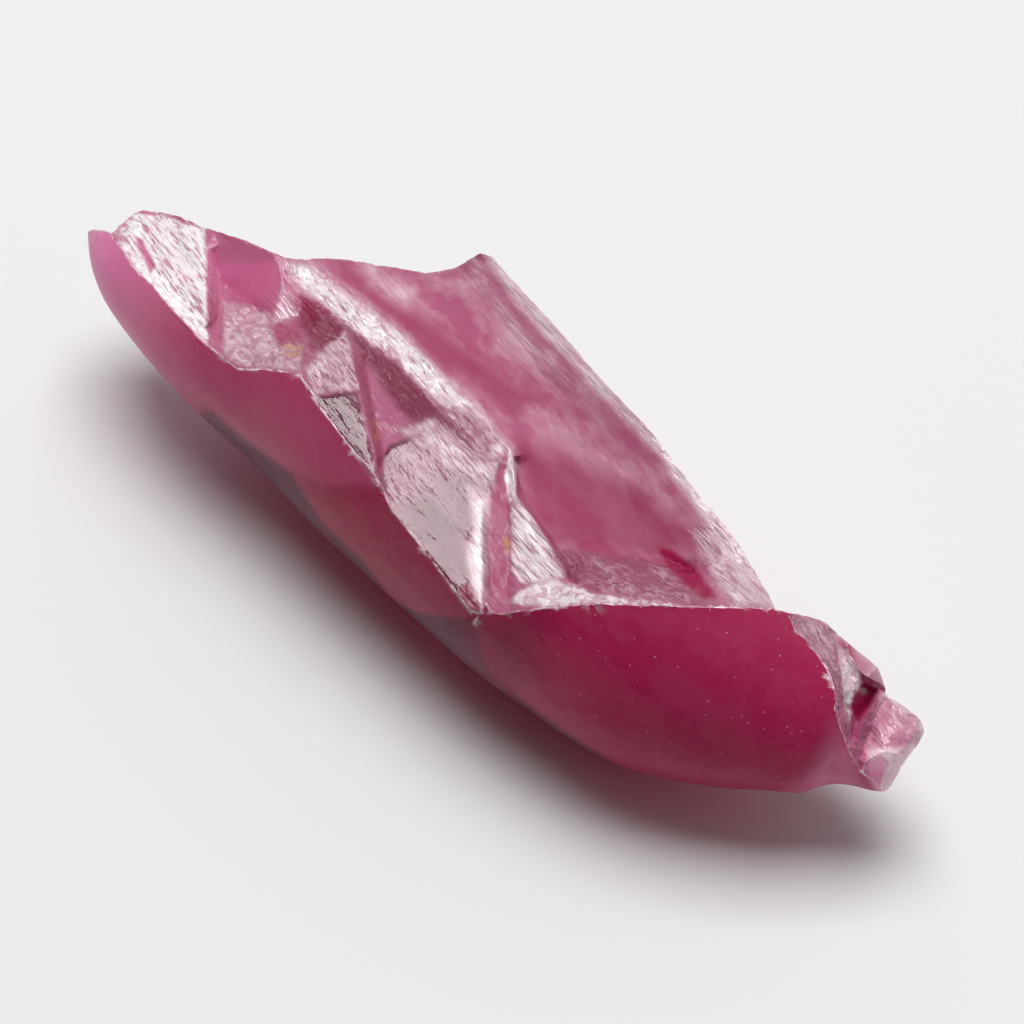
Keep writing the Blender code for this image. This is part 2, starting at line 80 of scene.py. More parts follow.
def addCamera(settings):
    right, up, back = sightAxes(settings)
    half = settings["steps"] / 2
    data = bpy.data.cameras.new("camera")
    data.lens = settings["lens"]
    data.sensor_width = settings["sensor"]
    data.shift_x = (half - settings["middle"][0]) / settings["steps"]
    data.shift_y = (settings["middle"][1] - half) / settings["steps"]
    data.clip_start = mm
    camera = bpy.data.objects.new("camera", data)
    scene.collection.objects.link(camera)
    place = Vector(settings["target"]) + back * settings["distance"]
    turned = Matrix((right, up, back)).transposed().to_4x4()
    camera.matrix_world = Matrix.Translation(place) @ turned
    scene.camera = camera


addCamera(cameraSettings)
print("camera set")


def viewPlaces(points, settings):
    # steps across and down the view at which points are seen
    right, up, back = (np.array(axis) for axis in sightAxes(settings))
    rel = points - eyePlace(settings)
    scale = settings["steps"] * settings["lens"] / settings["sensor"]
    depth = -(rel @ back)
    across = settings["middle"][0] + scale * (rel @ right) / depth
    down = settings["middle"][1] - scale * (rel @ up) / depth
    return np.stack([across, down], axis=1)


stoneSettings = {
    "mergeGap": 0.001 * mm,
    "levels": 2,
    "ridgeAngle": 24.0,         # edges sharper than this stay ridges, degrees
    "ridgeCrease": 0.75,
    "sharpAngle": 30.0,         # edges sharper than this are shaded sharp, degrees
    "skinGap": 0.5,             # mm off the round skin that may still be skin
    "skinLean": 0.6,            # how squarely its faces look outward
    "skinBend": 16.0,           # skin goes on across edges flatter than this, degrees
    "shoulder": 18.2 * mm,      # the skin tapers quickly past here
    "shoulderLean": 0.1,
    "footHeight": 0.05 * mm,    # the worn flat under the belly lies below this
    "chipSoft": 0.5,            # soft edge of the chip's outline, in steps
    "evenTurns": 7,             # rounds of evening out the skin's edge at the back
}

# the round skin: place along the stone, centre across, centre height and radius, in mm
# in the stone's design frame
skinStations = [
    (-27.1, 0.8, 9.3, 0.3), (-26.9, 0.8, 9.3, 0.8), (-26.4, 0.8, 9.2, 1.3), (-25.5, 0.8, 9.1, 2.0),
    (-24.0, 0.5, 9.0, 2.8), (-22.0, 0.1, 8.9, 3.7), (-20.0, 0.0, 8.7, 4.3), (-15.0, 0.2, 8.4, 5.7),
    (-10.0, 1.0, 8.1, 7.1), (-6.0, 1.0, 7.9, 7.7), (0.0, -0.2, 7.4, 7.4), (6.0, -1.8, 7.1, 6.7),
    (9.0, -2.3, 6.9, 6.3), (12.0, -2.9, 6.7, 5.7), (14.0, -2.8, 6.6, 5.0), (16.0, -2.4, 6.5, 4.4),
    (18.0, -1.9, 6.4, 3.7), (19.2, -1.6, 6.3, 3.3), (20.0, -1.3, 6.2, 2.9), (20.6, -1.3, 6.1, 2.3),
    (21.2, -1.2, 6.1, 2.0), (22.0, -1.0, 6.0, 1.9), (22.6, -0.9, 6.0, 1.7), (22.9, -0.9, 6.0, 1.3),
    (23.0, -0.9, 6.0, 0.6),
]
# outline of the chip and the broken stem top, in steps across and down the view
chipOutline = [
    (790, 616), (806, 640), (823, 664), (834, 687), (836, 699), (835, 709), (844, 739), (861, 772),
    (865, 762), (885, 751), (907, 757), (925, 728), (918, 709), (895, 701), (884, 693), (888, 682),
    (873, 680), (857, 667), (849, 655), (844, 640), (829, 626), (816, 619), (794, 614),
]


def smoothCurve(keys, values, places):
    slopes = np.gradient(values, keys)
    index = np.clip(np.searchsorted(keys, places) - 1, 0, len(keys) - 2)
    span = keys[index + 1] - keys[index]
    t = np.clip((places - keys[index]) / span, 0, 1)
    start = (2 * t**3 - 3 * t**2 + 1) * values[index] + (t**3 - 2 * t**2 + t) * span * slopes[index]
    end = (3 * t**2 - 2 * t**3) * values[index + 1] + (t**3 - t**2) * span * slopes[index + 1]
    return start + end


def skinFit(points):
    # gap under the round skin in mm, and the direction straight out from its axis
    table = np.array(skinStations) + np.array([*designShift, 0.0])
    across, height, radius = (smoothCurve(table[:, 0], table[:, k], points[:, 0] / mm) for k in (1, 2, 3))
    off = points[:, 1:] / mm - np.stack([across, height], axis=1)
    length = np.linalg.norm(off, axis=1)
    return radius - length, off / np.maximum(length, 1e-6)[:, None]


def insideShare(places, corners, soft):
    # 1 inside an outline, 0 outside, smooth between them
    corners = np.array(corners, float)
    nearest = np.full(len(places), np.inf)
    hit = np.zeros(len(places), bool)
    x, y = places[:, 0], places[:, 1]
    for a, b in zip(corners, np.roll(corners, -1, axis=0)):
        run = b - a
        t = np.clip(((places - a) @ run) / (run @ run), 0, 1)
        nearest = np.minimum(nearest, np.linalg.norm(places - a - t[:, None] * run, axis=1))
        if a[1] != b[1]:
            crosses = (a[1] > y) != (b[1] > y)
            hit ^= crosses & (x < (b[0] - a[0]) * (y - a[1]) / (b[1] - a[1]) + a[0])
    share = np.clip(np.where(hit, nearest, -nearest) / (2 * soft) + 0.5, 0, 1)
    return share * share * (3 - 2 * share)


def markSkin(shape, settings):
    # skin spreads from under the belly, over faces that lie on the round skin and look outward
    centres = np.array([face.calc_center_median() for face in shape.faces])
    normals = np.array([face.normal for face in shape.faces])
    seen = (normals * (eyePlace(cameraSettings) - centres)).sum(axis=1)
    gap, outward = skinFit(centres)
    lean = (normals[:, 1:] * outward).sum(axis=1)
    foot = centres[:, 2] < settings["footHeight"]
    maybe = (np.abs(gap) < settings["skinGap"]) & (lean > settings["skinLean"]) | foot
    chip = insideShare(viewPlaces(centres, cameraSettings), chipOutline, settings["chipSoft"])
    past = centres[:, 0] > settings["shoulder"]
    whole = ~((chip > 0.5) & (seen > 0)) & (lean > settings["shoulderLean"])
    maybe = np.where(past, whole, maybe)
    skin = shape.faces.layers.int.new("skinFace")
    shape.faces.index_update()
    shape.faces.ensure_lookup_table()
    bend = math.radians(settings["skinBend"])
    spread = [shape.faces[int(centres[:, 2].argmin())]]
    spread[0][skin] = 1
    while spread:
        face = spread.pop()
        for edge in face.edges:
            flat = edge.calc_face_angle(0.0) < bend
            for other in edge.link_faces:
                if other[skin] or not maybe[other.index]:
                    continue
                if flat or foot[other.index] or foot[face.index]:
                    other[skin] = 1
                    spread.append(other)
    # on the far side the skin has no ridge to end at, so its ragged edge is evened out
    for turn in range(settings["evenTurns"]):
        before = [face[skin] for face in shape.faces]
        for face in shape.faces:
            if seen[face.index] < 0:
                near = {other.index for corner in face.verts for other in corner.link_faces}
                face[skin] = int(2 * sum(before[index] for index in near) > len(near))
    return skin


def markRidges(shape, skin, settings):
    # the line between skin and break stays sharp, and other ridges nearly so
    crease = shape.edges.layers.float.new("crease_edge")
    limit = math.radians(settings["ridgeAngle"])
    for edge in shape.edges:
        if len(edge.link_faces) != 2:
            continue
        a, b = edge.link_faces
        if a[skin] != b[skin]:
            edge[crease] = 1.0
        elif edge.calc_face_angle(0.0) > limit:
            edge[crease] = settings["ridgeCrease"]


def copyStone(node, settings):
    shape = bmesh.new()
    shape.from_mesh(node.data)
    bmesh.ops.remove_doubles(shape, verts=shape.verts, dist=settings["mergeGap"])
    openEdges = sum(1 for edge in shape.edges if not edge.is_manifold)
    print("stone copied:", len(shape.faces), "faces,", openEdges, "open edges")
    skin = markSkin(shape, settings)
    markRidges(shape, skin, settings)
    mesh = bpy.data.meshes.new("rubyStone")
    shape.to_mesh(mesh)
    shape.free()
    return mesh


def bake(obj):
    # the modifiers' result becomes the object's own plain mesh
    depsgraph = bpy.context.evaluated_depsgraph_get()
    mesh = bpy.data.meshes.new_from_object(obj.evaluated_get(depsgraph))
    obj.modifiers.clear()
    old = obj.data
    obj.data = mesh
    bpy.data.meshes.remove(old)


stone = bpy.data.objects.new("rubyStone", copyStone(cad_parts["ruby_crystal"], stoneSettings))
scene.collection.objects.link(stone)
finer = stone.modifiers.new("finer", "SUBSURF")
finer.levels = finer.render_levels = stoneSettings["levels"]
bake(stone)
print("stone refined:", len(stone.data.polygons), "faces")

# what each zone of the stone is given, as shares from 0 to 1:
# haze: crushed and whitish, or in a few zones a painted highlight or glow, milk: lets little light through,
# crimson: the skin's own tint,
# streak: drawn-out splinters, rough: grains, gloss: glassy, glaze: a clear shine over the top
zoneMarks = ("haze", "milk", "crimson", "streak", "rough", "gloss", "glaze")
plainSkin = (0.03, 0.55, 1.0, 0.0, 0.05, 0.0, 0.0)
plainBreak = (0.1, 0.45, 0.0, 0.3, 0.1, 0.0, 0.2)
# corners are in steps across and down the view, and a zone lies only on what faces the camera
zoneSettings = {
    # name: the seven marks, soft edge in steps, corners
    "farSlope": ((0.3, 0.5, 0.25, 0.06, 0.0, 0.0, 0.12), 12, [
        (330, 255), (430, 275), (490, 256), (560, 330), (690, 480), (730, 545), (690, 560), (560, 545),
        (520, 470), (440, 370), (380, 310)]),
    "slopeFoot": ((0.08, 0.45, 0.7, 0.05, 0.0, 0.0, 0.0), 16, [
        (515, 445), (570, 455), (640, 490), (700, 545), (660, 562), (545, 545), (522, 490)]),
    "slopeFold": ((0.05, 0.45, 0.6, 0.05, 0.0, 0.0, 0.0), 14, [
        (340, 262), (380, 285), (430, 320), (500, 370), (540, 400), (520, 415), (450, 370), (400, 330),
        (350, 290)]),
    "slopeCloud": ((0.6, 0.45, 0.0, 0.3, 0.0, 0.0, 0.2), 12, [
        (352, 268), (372, 262), (415, 290), (405, 305), (370, 285)]),
    "rimCloud": ((0.55, 0.45, 0.0, 0.3, 0.0, 0.0, 0.2), 14, [
        (475, 262), (505, 300), (580, 385), (560, 390), (500, 330), (465, 280)]),
    "rimBand": ((0.8, 0.5, 0.0, 0.3, 0.1, 0.2, 0.6), 5, [
        (480, 250), (496, 256), (535, 300), (612, 386), (685, 470), (745, 548), (776, 606), (752, 600),
        (700, 515), (655, 452), (590, 386), (515, 305)]),
    "leftBlock": ((1.0, 0.4, 0.0, 1.0, 0.2, 0.0, 0.7), 3, [
        (118, 229), (134, 214), (160, 212), (206, 227), (209, 345), (197, 335), (172, 310), (152, 284),
        (139, 274), (120, 247)]),
    "tipFacet": ((0.6, 0.2, 0.2, 0.1, 0.0, 1.0, 1.0), 2, [
        (112, 232), (122, 236), (150, 275), (152, 284), (139, 274)]),
    "blockFacet": ((0.6, 0.2, 0.2, 0.1, 0.0, 1.0, 1.0), 2, [
        (178, 312), (190, 318), (209, 345), (197, 335)]),
    "blockEdge": ((1.0, 0.3, 0.0, 0.3, 0.3, 0.5, 1.0), 2, [
        (115, 242), (124, 241), (153, 270), (178, 306), (201, 337), (208, 346), (195, 337), (169, 312),
        (149, 285), (134, 272)]),
    "blockRib": ((0.15, 0.5, 0.4, 0.5, 0.0, 0.0, 0.4), 2, [
        (136, 236), (141, 237), (155, 266), (150, 273)]),
    "stepWall": ((0.2, 0.5, 0.2, 0.3, 0.1, 0.0, 0.4), 2, [
        (208, 228), (219, 236), (221, 300), (218, 345), (209, 346)]),
    "pinkPatch": ((0.05, 0.55, 0.1, 0.0, 0.0, 0.7, 0.2), 5, [
        (214, 240), (250, 244), (280, 256), (282, 283), (258, 305), (243, 298), (222, 280)]),
    "roughFloor": ((0.75, 0.3, 0.1, 0.5, 0.8, 0.0, 0.35), 5, [
        (222, 300), (243, 303), (262, 310), (300, 320), (304, 350), (300, 372), (270, 369), (238, 367),
        (222, 354)]),
    "pinkSpot": ((0.1, 0.5, 0.5, 0.4, 0.2, 0.0, 0.3), 4, [
        (270, 326), (300, 318), (304, 340), (280, 346)]),
    "smallFacet": ((0.5, 0.3, 0.0, 0.1, 0.0, 0.8, 0.9), 2, [
        (282, 283), (303, 316), (269, 326)]),
    "streakRidge": ((1.0, 0.5, 0.0, 1.0, 0.7, 0.0, 0.8), 9, [
        (280, 260), (310, 262), (340, 285), (400, 330), (455, 385), (490, 420), (511, 450), (500, 462),
        (480, 468), (450, 450), (420, 405), (385, 365), (350, 335), (310, 300), (290, 280)]),
    "ridgeShade": ((0.66, 0.3, 0.0, 1.0, 0.6, 0.0, 0.5), 8, [
        (436, 398), (470, 412), (498, 440), (490, 456), (465, 446), (438, 426)]),
    "groove": ((0.05, 0.25, 0.6, 1.0, 0.4, 0.0, 0.35), 6, [
        (300, 300), (345, 325), (400, 365), (450, 420), (475, 450), (440, 440), (400, 410), (370, 365),
        (330, 335), (300, 325)]),
    "darkHackle": ((0.15, 0.3, 0.7, 1.0, 0.3, 0.0, 0.5), 5, [
        (300, 296), (330, 310), (350, 345), (335, 345), (312, 350), (304, 320)]),
    "bigFacet": ((0.25, 0.06, 0.3, 0.15, 0.0, 1.0, 0.5), 2, [
        (384, 492), (378, 463), (390, 445), (430, 430), (465, 448), (500, 462), (489, 492), (485, 526),
        (488, 590), (482, 613), (470, 611), (452, 587), (421, 546), (391, 509)]),
    # painted highlight: the haze here whitens the big facet's right part, where it mirrors the light
    "facetShine": ((0.9, 0.2, 0.0, 0.3, 0.0, 0.6, 0.7), 7, [
        (468, 488), (486, 500), (488, 590), (482, 613), (474, 600), (468, 560), (474, 520)]),
    "facetLines": ((0.45, 0.15, 0.1, 0.3, 0.0, 0.8, 0.55), 12, [
        (382, 474), (400, 448), (440, 440), (452, 466), (420, 496), (392, 502)]),
    "facetSplinters": ((0.3, 0.4, 0.8, 1.0, 0.2, 0.2, 0.4), 2, [
        (458, 588), (466, 586), (486, 613), (472, 612)]),
    "facetWall": ((0.6, 0.4, 0.0, 0.3, 0.0, 0.0, 0.3), 3, [
        (484, 492), (493, 490), (493, 606), (482, 614)]),
    "facetTop": ((0.7, 0.2, 0.0, 0.6, 0.1, 0.3, 0.6), 6, [
        (395, 430), (435, 415), (470, 445), (504, 460), (494, 490), (470, 475), (420, 450)]),
    "humpFacet": ((0.3, 0.06, 0.2, 0.12, 0.0, 1.0, 0.5), 2, [
        (312, 397), (357, 390), (379, 488), (357, 455), (330, 420)]),
    "humpTop": ((0.75, 0.3, 0.1, 1.0, 0.3, 0.0, 0.5), 3, [
        (306, 366), (320, 352), (345, 328), (358, 352), (360, 388), (312, 396)]),
    "crevice": ((0.1, 0.4, 0.5, 0.2, 0.1, 0.0, 0.2), 2, [
        (347, 328), (363, 352), (371, 390), (386, 466), (380, 480), (370, 432), (360, 390)]),
    "valleyBand": ((0.2, 0.5, 0.3, 0.2, 0.2, 0.2, 0.15), 3, [
        (505, 455), (513, 480), (512, 560), (508, 600), (488, 608), (488, 530), (492, 490)]),
    "sliver": ((1.0, 0.3, 0.0, 0.2, 0.0, 0.5, 0.8), 1.5, [
        (504, 478), (509, 450), (517, 462), (517, 498), (509, 504)]),
    "ribFacet": ((0.9, 0.2, 0.0, 0.7, 0.1, 0.6, 0.55), 3, [
        (511, 457), (517, 495), (566, 567), (565, 579), (521, 584), (510, 570)]),
    "granularBand": ((0.95, 0.3, 0.0, 0.2, 1.0, 0.0, 0.9), 3, [
        (508, 604), (514, 593), (528, 585), (551, 579), (567, 582), (600, 593), (690, 607), (640, 605),
        (571, 606), (544, 608)]),
    "whitePatch": ((0.8, 0.3, 0.1, 0.7, 0.2, 0.3, 0.6), 8, [
        (690, 530), (715, 528), (745, 550), (772, 604), (735, 608), (705, 565)]),
    "troughFloor": ((0.42, 0.3, 0.35, 0.7, 0.1, 0.0, 0.3), 6, [
        (545, 548), (640, 558), (690, 574), (715, 606), (600, 593), (570, 578)]),
    "deepPocket": ((0.0, 0.45, 1.0, 0.0, 0.0, 0.8, 0.0), 3, [
        (655, 546), (672, 550), (695, 567), (718, 598), (702, 600), (668, 568)]),
    "chipFace": ((0.36, 0.3, 0.15, 0.8, 0.1, 0.3, 0.8), 3, [
        (790, 616), (829, 626), (836, 653), (843, 687), (840, 700), (834, 687), (823, 664), (806, 640)]),
    "chipStrip": ((0.9, 0.3, 0.0, 0.2, 0.8, 0.0, 1.0), 2, [
        (837, 645), (858, 655), (862, 686), (850, 720), (850, 742), (843, 700)]),
    "lump": ((0.15, 0.45, 0.35, 0.1, 0.1, 0.0, 0.05), 4, [
        (858, 640), (880, 650), (892, 668), (884, 684), (866, 680), (859, 664)]),
    "chipPocket": ((0.0, 0.4, 1.0, 0.0, 0.0, 0.6, 0.3), 2, [
        (864, 682), (878, 688), (870, 706), (858, 722), (851, 708), (855, 694)]),
    "stemTop": ((0.5, 0.5, 0.0, 0.4, 0.2, 0.4, 0.7), 3, [
        (880, 692), (925, 705), (925, 735), (908, 757), (865, 752), (872, 715)]),
    # painted glow: the stem's low part is whitened and made milky, so it looks lit by light shining through
    # it
    "stemLow": ((0.7, 0.8, 0.0, 0.1, 0.0, 0.3, 0.4), 4, [
        (866, 750), (930, 742), (940, 795), (884, 802), (866, 776)]),
}
skinZones = {
    # name: the marks that it changes, soft edge in steps, corners
    "tipGlow": ({"crimson": 0.95, "milk": 0.7, "haze": 0.05}, 10, [
        (60, 190), (130, 205), (212, 345), (163, 345), (150, 370), (60, 340)]),
    # painted shade: lowerStrip, scoop and shade darken and grey the skin low on the near side, where it lies
    # in shade
    "lowerStrip": ({"paintedShade": 1.0, "milk": 0.7}, 4, [
        (204, 412), (212, 411), (233, 430), (263, 453), (287, 470), (323, 486), (343, 487), (367, 483),
        (382, 486), (440, 500), (500, 600), (478, 618), (480, 651), (500, 681), (537, 711), (580, 741),
        (630, 774), (657, 784), (640, 830), (500, 800), (380, 680), (240, 540), (170, 420)]),
    "scoop": ({"paintedShade": 0.12, "milk": 0.5}, 2.5, [
        (290, 472), (323, 486), (343, 487), (367, 483), (382, 486), (440, 500), (500, 600), (476, 618),
        (457, 618), (418, 613), (390, 597), (363, 560), (323, 523)]),
    "scoopOne": ({"crimson": 0.7, "milk": 0.6, "haze": 0.03}, 6, [
        (163, 345), (212, 345), (310, 350), (390, 486), (343, 487), (323, 486), (287, 470), (263, 453),
        (233, 430), (205, 403), (190, 398)]),
    "shade": ({"paintedShade": 0.45}, 34, [
        (474, 618), (545, 612), (530, 670), (505, 684), (482, 655)]),
    "lilacLeft": ({"haze": 0.07}, 7, [
        (203, 396), (225, 405), (250, 430), (274, 455), (264, 464), (240, 446), (214, 418)]),
    "lilacMid": ({"haze": 0.08}, 5, [
        (300, 492), (322, 498), (341, 518), (330, 524), (310, 508)]),
    "lilacRight": ({"haze": 0.1, "crimson": 0.35, "milk": 0.75}, 18, [
        (836, 730), (868, 768), (866, 796), (790, 796), (818, 768)]),
    "lumpSkin": ({"rim": 0.2, "crimson": 0.4, "milk": 0.5, "haze": 0.15}, 4, [
        (855, 636), (882, 646), (894, 668), (886, 686), (862, 682), (853, 660)]),
    # painted glow: the stem's low skin is whitened and made milky, as if lit by light shining through it
    "stemSkin": ({"crimson": 0.0, "milk": 1.0, "haze": 0.4}, 3, [
        (868, 742), (935, 735), (940, 795), (884, 802), (866, 776)]),
}
# painted glints: small warm spots on the break
warmGleamSpots = [
    [(283, 347), (295, 342), (304, 347), (300, 356), (286, 358)],
    [(372, 424), (378, 422), (380, 438), (375, 440)],
    [(503, 540), (509, 536), (511, 552), (506, 553)],
]
warmGleamSoft = 4
# glassy facets, and how far each is turned towards the light's mirror direction
flatFacets = {"blockFacet": 0.3, "smallFacet": 0.3, "bigFacet": 0.4, "humpFacet": 0.25, "ribFacet": 0.35}
facetSettings = {
    "mirrorToward": (-0.08, 0.1, 0.99),
    "mostMove": 0.7 * mm,
    "soft": 4,
    "coreSoft": 1.0,            # the plane is laid through the facet's own middle part,
    "coreShare": 0.9,           # this far inside its outline
    "coreSkin": 0.1,            # and off the skin
    "rimFacets": ("bigFacet", "humpFacet"),     # these run out to the skin's edge
    "rimSoft": 2,
}


def vertexNormals(mesh):
    normals = np.empty(len(mesh.vertices) * 3)
    mesh.vertex_normals.foreach_get("vector", normals)
    return normals.reshape(-1, 3)


def vertexPlaces(mesh):
    places = np.empty(len(mesh.vertices) * 3)
    mesh.vertices.foreach_get("co", places)
    return places.reshape(-1, 3)


def zoneShare(places, normals, soft, corners):
    facing = (normals * (eyePlace(cameraSettings) - places)).sum(axis=1) > 0
    return insideShare(viewPlaces(places, cameraSettings), corners, soft) * facing


def skinShare(mesh, places, normals):
    # 1 on the skin, 0 on the break, between them along the rim
    faceSkin = np.empty(len(mesh.polygons), dtype=np.int32)
    mesh.attributes["skinFace"].data.foreach_get("value", faceSkin)
    loops = np.empty(len(mesh.loops), dtype=np.int32)
    mesh.loops.foreach_get("vertex_index", loops)
    totals = np.empty(len(mesh.polygons), dtype=np.int32)
    mesh.polygons.foreach_get("loop_total", totals)
    count = np.bincount(loops, minlength=len(mesh.vertices))
    skin = np.bincount(loops, np.repeat(faceSkin, totals), len(mesh.vertices)) / np.maximum(count, 1)
    for name in facetSettings["rimFacets"]:
        corners = zoneSettings[name][2]
        skin = np.minimum(skin, 1 - zoneShare(places, normals, facetSettings["rimSoft"], corners))
    return skin


def flattenFacets(mesh, settings):
    # glassy facets are split clean and flat: each is laid on its own plane, tipped a little to the light
    places, normals = vertexPlaces(mesh), vertexNormals(mesh)
    skin = skinShare(mesh, places, normals)
    eye = eyePlace(cameraSettings)
    for name, tip in flatFacets.items():
        corners = zoneSettings[name][2]
        share = zoneShare(places, normals, settings["soft"], corners)
        middle = zoneShare(places, normals, settings["coreSoft"], corners) > settings["coreShare"]
        core = places[middle & (skin < settings["coreSkin"])]
        centre = core.mean(axis=0)
        plane = np.linalg.svd(core - centre, full_matrices=False)[2][2]
        view = (eye - centre) / np.linalg.norm(eye - centre)
        plane *= np.sign(plane @ view)
        mirror = view + np.array(settings["mirrorToward"])
        mirror /= np.linalg.norm(mirror)
        plane = plane * (1 - tip) + mirror * tip
        plane /= np.linalg.norm(plane)
        reach = ((centre - eye) @ plane) / ((places - eye) @ plane)
        move = (places - eye) * (reach - 1)[:, None]
        length = np.maximum(np.linalg.norm(move, axis=1), 1e-9)
        move *= np.minimum(1, settings["mostMove"] / length)[:, None]
        places = places + move * share[:, None]
        farthest = float((np.minimum(length, settings["mostMove"]) * share).max())
        print("facet flattened:", name, "by up to", round(farthest / mm, 2), "mm")
    mesh.vertices.foreach_set("co", places.ravel())
    mesh.update()


def markZones(mesh):
    places, normals = vertexPlaces(mesh), vertexNormals(mesh)
    skin = skinShare(mesh, places, normals)
    levels = np.outer(1 - skin, plainBreak) + np.outer(skin, plainSkin)
    for marks, soft, corners in zoneSettings.values():
        share = (zoneShare(places, normals, soft, corners) * (1 - skin))[:, None]
        levels = levels * (1 - share) + np.array(marks) * share
    rim = 1 - np.abs(2 * skin - 1)
    levels = dict(zip(zoneMarks, levels.T), rim=rim, paintedShade=0 * skin, warmGleam=0 * skin)
    for marks, soft, corners in skinZones.values():
        share = zoneShare(places, normals, soft, corners) * skin
        for key, value in marks.items():
            levels[key] = levels[key] * (1 - share) + value * share
    for corners in warmGleamSpots:
        levels["warmGleam"] += zoneShare(places, normals, warmGleamSoft, corners) * (1 - skin)
    for key, values in levels.items():
        layer = mesh.attributes.new(key, "FLOAT", "POINT")
        layer.data.foreach_set("value", values.astype(np.float32))


flattenFacets(stone.data, facetSettings)
markZones(stone.data)
print("zones marked:", len(zoneSettings), "on the break,", len(skinZones), "on the skin")


def addNode(tree, kind, settings=None, links=None):
    # a node, its plain settings (a property, or a socket by number or name), and what feeds it
    # (a socket, or a node's first output)
    node = tree.nodes.new(kind)
    for key, value in (settings or {}).items():
        if isinstance(key, str) and hasattr(node, key):
            setattr(node, key, value)
    for key, value in (settings or {}).items():
        if not (isinstance(key, str) and hasattr(node, key)):
            node.inputs[key].default_value = value
    for key, source in (links or {}).items():
        socket = source.outputs[0] if hasattr(source, "outputs") else source
        tree.links.new(socket, node.inputs[key])
    return node


# relief of the break: noise lifts and lowers it by about a fifth of these heights
reliefSettings = {
    "streakHeight": 0.8 * mm,
    "streakWidth": mm / 1.5,    # real ones are finer: these are as coarse as they need to show
    "streakStretch": 4.0,
    "streakTurn": -17.0,        # degrees from the stone's length
    "grainHeight": 0.64 * mm,
    "grainWidth": mm / 1.5,
    "seed": 7.0,
}


def makeReliefTree(settings):
    tree = bpy.data.node_groups.new("breakRelief", "GeometryNodeTree")
    tree.interface.new_socket("Geometry", in_out="INPUT", socket_type="NodeSocketGeometry")
    for name in settings:
        tree.interface.new_socket(name, in_out="INPUT", socket_type="NodeSocketFloat")
    tree.interface.new_socket("material", in_out="INPUT", socket_type="NodeSocketMaterial")
    tree.interface.new_socket("Geometry", in_out="OUTPUT", socket_type="NodeSocketGeometry")
    given = addNode(tree, "NodeGroupInput").outputs
    place = addNode(tree, "GeometryNodeInputPosition")

    # places turned and squeezed along the streaks
    turn = addNode(tree, "ShaderNodeMath", {"operation": "RADIANS"}, {0: given["streakTurn"]})
    back = addNode(tree, "ShaderNodeMath", {"operation": "MULTIPLY", 1: -1.0}, {0: turn})
    turned = addNode(tree, "ShaderNodeVectorRotate", {"rotation_type": "Z_AXIS"},
                     {"Vector": place, "Angle": back})
    squeeze = addNode(tree, "ShaderNodeMath", {"operation": "DIVIDE", 0: 1.0}, {1: given["streakStretch"]})
    ratio = addNode(tree, "ShaderNodeCombineXYZ", {1: 1.0, 2: 1.0}, {0: squeeze})
    drawn = addNode(tree, "ShaderNodeVectorMath", {"operation": "MULTIPLY"}, {0: turned, 1: ratio})

    heights = []
    for mark, kind, source in (("streak", "streak", drawn), ("rough", "grain", place)):
        scale = addNode(tree, "ShaderNodeMath", {"operation": "DIVIDE", 0: 1.0}, {1: given[kind + "Width"]})
        texture = addNode(tree, "ShaderNodeTexNoise", {"noise_dimensions": "4D", "Detail": 2.0},
                          {"Vector": source, "W": given["seed"], "Scale": scale})
        centred = addNode(tree, "ShaderNodeMath", {"operation": "SUBTRACT", 1: 0.5}, {0: texture})
        marked = addNode(tree, "GeometryNodeInputNamedAttribute", {"Name": mark})
        weighed = addNode(tree, "ShaderNodeMath", {"operation": "MULTIPLY"}, {0: centred, 1: marked})
        heights.append(addNode(tree, "ShaderNodeMath", {"operation": "MULTIPLY"},
                               {0: weighed, 1: given[kind + "Height"]}))
    height = addNode(tree, "ShaderNodeMath", {"operation": "ADD"}, {0: heights[0], 1: heights[1]})
    normal = addNode(tree, "GeometryNodeInputNormal")
    offset = addNode(tree, "ShaderNodeVectorMath", {"operation": "SCALE"}, {0: normal, "Scale": height})
    moved = addNode(tree, "GeometryNodeSetPosition", {},
                    {"Geometry": given["Geometry"], "Offset": offset})
    real = addNode(tree, "GeometryNodeRealizeInstances", {}, {0: moved})
    dressed = addNode(tree, "GeometryNodeSetMaterial", {}, {0: real, "Material": given["material"]})
    addNode(tree, "NodeGroupOutput", {}, {0: dressed})
    return tree


def addRelief(obj, settings, material):
    relief = obj.modifiers.new("relief", "NODES")
    relief.node_group = makeReliefTree(settings)
    values = dict(settings, material=material)
    for socket in relief.node_group.interface.items_tree:
        if socket.in_out == "INPUT" and socket.name in values:
            relief[socket.identifier] = values[socket.name]
    bake(obj)


